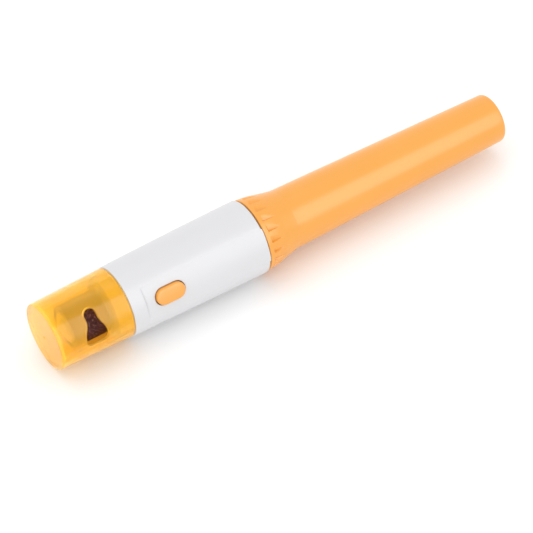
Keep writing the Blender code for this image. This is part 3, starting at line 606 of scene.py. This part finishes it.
def make_barrel():
    """White shell: guard neck, body with its panel, spigot, and the stepped bore inside."""
    shaft_hole, motor_seat, wide_bore, cell_land = 3.4, 10.35, 12.1, 10.9
    floor, seat_end = NECK_START + 2.1, NECK_START + 6.1
    wide_start, wide_end, cone_start, land_start = 32.6, 79.2, 80.0, 81.2
    tangent = 34
    neck = fillet([(floor, shaft_hole), (NECK_START, shaft_hole), (NECK_START, NECK_RADIUS),
                   (BARREL_START - 0.02, NECK_RADIUS), (BARREL_START, BARREL_RADII[0]),
                   (tangent, barrel_radius(tangent))], [0, 0, 0.5, 0, 0.35, 0])
    before_panel = np.linspace(31.2, PANEL_START - 0.4, 7)
    panel_entry = np.linspace(PANEL_START - 0.3, PANEL_START + 0.45, 7)
    along_panel = np.linspace(PANEL_START + 1.2, BARREL_END - 1.2, 44)
    rings = list(neck[1:-1])
    rings += [(station, barrel_radius(station)) for station in before_panel]
    for station in (*panel_entry, *along_panel):
        rings.append((station, panelled(station, barrel_radius(station))))
    rounded_edge = ((0.3, 0.0), (0.16, 0.04), (0.06, 0.12), (0.0, 0.28))
    for back, drop in rounded_edge:
        rings.append((barrel_rear(back), panelled(BARREL_END, barrel_radius(BARREL_END) - drop)))
    root, chamfer = SPIGOT_RADIUS - 0.45, 0.3
    rings += [(barrel_rear(0.0), root), (SPIGOT_END - chamfer, root), (SPIGOT_END, root - chamfer),
              (SPIGOT_END, cell_land), (land_start, cell_land), (cone_start, wide_bore),
              (wide_end, bore(wide_bore)), (wide_start, bore(wide_bore)), (seat_end, motor_seat),
              (floor, motor_seat), (floor, shaft_hole)]

    fine, coarse, panel_turn = 0.5, 2, 40
    turns = np.concatenate((np.arange(0, panel_turn, fine), np.arange(panel_turn, 360 - panel_turn, coarse),
                            np.arange(360 - panel_turn, 360, fine)))
    barrel = lathe("barrel_shell", rings, sharp=30, angles=[math.radians(turn) for turn in turns])
    length, width = BUTTON_SIZE
    slot_floor, slot_top = 9.5, 16.0
    slot = prism("slot_cut", stadium(length + 0.8, width + 0.7), slot_floor, slot_top, BUTTON_STATION)
    combine(barrel, slot, "DIFFERENCE")
    soften(barrel, 0.12, 2, 65.0)
    stand_for(barrel, "barrel")


def make_thread():
    """The spigot's screw thread: a ridge of nearly two turns that fades out at both ends."""
    pitch, turns, per_turn, fade_steps = 2.5, 1.9, 72, 10
    start = BARREL_END + 0.5
    root, crest = SPIGOT_RADIUS - 0.5, SPIGOT_RADIUS
    half, sunk = 0.45, root - 0.1
    crest_half = half * 0.45
    bm = bmesh.new()
    rows = []
    count = int(turns * per_turn) + 1
    for index in range(count):
        angle = 2 * math.pi * index / per_turn
        middle = start + half + pitch * index / per_turn
        fade = min(1.0, index / fade_steps, (count - 1 - index) / fade_steps)
        top = root + (crest - root) * fade
        section = ((middle - half, sunk), (middle - crest_half, top), (middle + crest_half, top),
                   (middle + half, sunk))
        rows.append([bm.verts.new(polar(station, radius, angle)) for station, radius in section])
    skin_rows(bm, rows)
    thread = new_object("spigot_thread", bm)
    thread.data.materials.append(MATERIALS["white_plastic"])
    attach(thread, "housing")


def make_button():
    """Domed oblong button over a hidden flange, arm and foot."""
    length, width = BUTTON_SIZE
    underside, edge, crown = 9.9, 0.75, 0.12
    sections = [(underside, 0.0)]
    for angle in np.radians(np.linspace(0, 75, 7)):
        sections.append((BUTTON_TOP - crown - edge + edge * math.sin(angle), edge * (1 - math.cos(angle))))
    sections += [(BUTTON_TOP - 0.08, 1.2), (BUTTON_TOP - 0.02, 2.2), (BUTTON_TOP, 3.0)]
    bm = bmesh.new()
    rows = []
    for height, inset in sections:
        outline = stadium(length - 2 * inset, width - 2 * inset, 25)
        rows.append([bm.verts.new(place(BUTTON_STATION + along, side, height)) for along, side in outline])
    skin_rows(bm, rows)
    button = new_object("button_cap", bm)
    hidden_parts = (("flange", stadium(length + 2.4, width + 2.4), 9.4, 10.2),
                    ("arm", rectangle(-1, 15.9, 2.6), 9.4, 10.1),
                    ("foot", rectangle(11.4, 15.0, 1.8), 9.2, 9.7))
    for name, outline, low, high in hidden_parts:
        combine(button, prism(name, outline, low, high, BUTTON_STATION), "UNION")
    button.data.set_sharp_from_angle(angle=math.radians(35))
    stand_for(button, "button")


def notched(station, radius):
    """The collar's radius as a function of the angle: wedge notches with one steep side."""
    entry = smoothstep(NOTCH_START - 0.15, NOTCH_START + 0.25, station)
    pitch = 360 / NOTCH_COUNT

    def at(angle):
        turn = math.degrees(angle) % pitch
        if turn < STEEP_SIDE / 2 or turn > NOTCH_WIDTH:
            return radius
        floor = NOTCH_FLOOR + (NOTCH_RIM - NOTCH_FLOOR) * turn / NOTCH_WIDTH
        return radius + (min(radius, floor) - radius) * entry

    return at


def make_handle():
    """Battery handle: notched collar, tapering tube, closed tail, and the bore for the cells."""
    flare = [(COLLAR_START + 0.4, 14.45), (92, 14.22), (94, 13.92), (96, 13.5), (98, 13.02), (100, 12.6),
             (102, 12.2), (103.2, 11.99), (TUBE_START, TUBE_RADII[0])]
    flare_stations, flare_radii = zip(*flare)
    fine_start, notch_end = NOTCH_START - 0.15, 99.0
    stations = np.concatenate((np.arange(COLLAR_START + 0.4, NOTCH_START - 0.2, 0.3),
                               np.arange(fine_start, notch_end, 0.2), np.arange(notch_end, TUBE_START, 0.4)))
    socket_floor, socket_radius = 96.0, 12.8
    rings = [(COLLAR_START, socket_radius), (COLLAR_START, 14.15), (COLLAR_START + 0.1, 14.35)]
    for station in stations:
        rings.append((station, notched(station, float(np.interp(station, flare_stations, flare_radii)))))
    tail = fillet([(TUBE_START, TUBE_RADII[0]), (LENGTH, TUBE_RADII[1]), (LENGTH, 0)], [0, 1.5, 0], 9)
    rings += densify(tail[:-1], 4.0) + [(LENGTH, 0)]
    bore_end = 198.2
    rings += [(bore_end, 0), (bore_end, 8.3), (104.0, 9.9), (98.0, 11.0), (socket_floor, 11.0),
              (socket_floor, socket_radius)]

    pitch = 2 * math.pi / NOTCH_COUNT
    within = [0.0, STEEP_SIDE] + list(np.arange(1.5, 18.0, 1.5))
    angles = [index * pitch + math.radians(turn) for index in range(NOTCH_COUNT) for turn in within]
    stand_for(lathe("handle_shell", rings, sharp=28, angles=angles), "handle")


def gritty(station):
    """The band's rough radius as a function of the angle, with a slanted groove at its lap seam."""
    depth, slant, seam_width, seam_depth = 0.07, 0.10, 0.05, 0.12

    def at(angle):
        spot = polar(station, BAND_OUTER, angle) / MM
        rough = noise.noise(spot * 3.1) * 0.5 + noise.noise(spot * 7.3) * 0.35
        lap = (angle + slant * (station - BAND_START)) % (2 * math.pi)
        seam = -seam_depth if lap < seam_width else 0.0
        return BAND_OUTER - 0.05 + depth * rough + seam

    return at


def make_band():
    """Sanding band: a thin sleeve, gritty outside and smooth inside."""
    end, edge, chamfer = BAND_START + BAND_LENGTH, 0.05, 0.12
    row_count = 64
    rings = [(BAND_START, BAND_INNER), (BAND_START, BAND_OUTER - chamfer)]
    for index in range(row_count):
        station = BAND_START + edge + (BAND_LENGTH - 2 * edge) * index / (row_count - 1)
        rings.append((station, gritty(station)))
    rings += [(end, BAND_OUTER - chamfer), (end, BAND_INNER)]
    stand_for(lathe("sanding_band_grit", rings, 240, sharp=60), "sanding_band")


def dress_frame_nodes(replaced):
    """CAD nodes that stay get the materials of their slots."""
    for name, obj in frame["nodes"].items():
        if name in replaced:
            continue
        obj.data.materials.clear()
        obj.data.materials.append(MATERIALS[SLOT_OF[name]])


# ---------------------------------------------------------------- stage

def make_floor():
    """A plain pale floor."""
    bm = bmesh.new()
    bmesh.ops.create_grid(bm, x_segments=1, y_segments=1, size=4.0)
    floor = new_object("floor", bm)
    material, nodes, links, shader = node_material("floor_paint")
    clouds = add_noise(nodes, links, 3.0)
    colour = add_ramp(nodes, links, clouds.outputs["Fac"],
                      ((0.3, (0.93, 0.93, 0.93)), (0.7, (0.95, 0.95, 0.95))))
    links.new(colour.outputs["Color"], shader.inputs["Base Color"])
    shader.inputs["Roughness"].default_value = 0.9
    shader.inputs["Specular IOR Level"].default_value = 0.1
    floor.data.materials.append(material)


def add_area(name, direction, distance, size, energy):
    """A soft box facing the grinder from a direction, given as (x, y, z)."""
    data = bpy.data.lights.new(name, "AREA")
    data.shape = "RECTANGLE"
    data.size, data.size_y = size
    data.energy = energy
    light = bpy.data.objects.new(name, data)
    bpy.context.scene.collection.objects.link(light)
    away = Vector(direction).normalized()
    light.location = Vector((0, 0, AXIS_Z)) + away * distance
    light.rotation_euler = away.to_track_quat("Z", "Y").to_euler()
    return light


def make_studio():
    """White surroundings and three soft boxes, the first seen only in reflections."""
    world = bpy.data.worlds.new("studio")
    world.use_nodes = True
    background = world.node_tree.nodes["Background"]
    background.inputs["Color"].default_value = (1.0, 1.0, 1.0, 1.0)
    background.inputs["Strength"].default_value = 1.12
    bpy.context.scene.world = world
    around = math.radians(50)
    shine = add_area("shine_softbox", (0, -math.sin(around), math.cos(around)), 1.9, (3.0, 2.0), 46.0)
    shine.visible_diffuse = False
    shine.visible_transmission = False
    add_area("top_softbox", (-0.2, 0.35, 1.0), 2.2, (2.4, 1.6), 8.0)
    add_area("low_softbox", (-0.3, -1.0, 0.12), 1.6, (2.4, 0.5), 4.0)
    bpy.context.scene.view_settings.view_transform = "Standard"


def make_camera():
    """Camera at the photo's viewing angle, with weak perspective and no roll."""
    azimuth, elevation = math.radians(-33.39), math.radians(48.92)
    distance, lens, sensor = 1.1, 198.5, 36.0
    aim_left, aim_down = 0.0032, 0.0160
    towards = Vector((math.sin(azimuth) * math.cos(elevation), -math.cos(azimuth) * math.cos(elevation),
                      math.sin(elevation)))
    right = Vector((math.cos(azimuth), math.sin(azimuth), 0))
    up = towards.cross(right)
    middle = Vector((0, 0, AXIS_Z))
    aim = middle - right * aim_left - up * aim_down
    data = bpy.data.cameras.new("camera")
    data.lens, data.sensor_width = lens, sensor
    camera = bpy.data.objects.new("camera", data)
    bpy.context.scene.collection.objects.link(camera)
    camera.location = middle + towards * distance
    camera.rotation_euler = (camera.location - aim).to_track_quat("Z", "Y").to_euler()
    bpy.context.scene.camera = camera


make_camera()
make_studio()
make_floor()
make_guard()
make_barrel()
make_thread()
make_button()
make_handle()
make_band()
dress_frame_nodes({"guard", "barrel", "button", "handle", "sanding_band"})
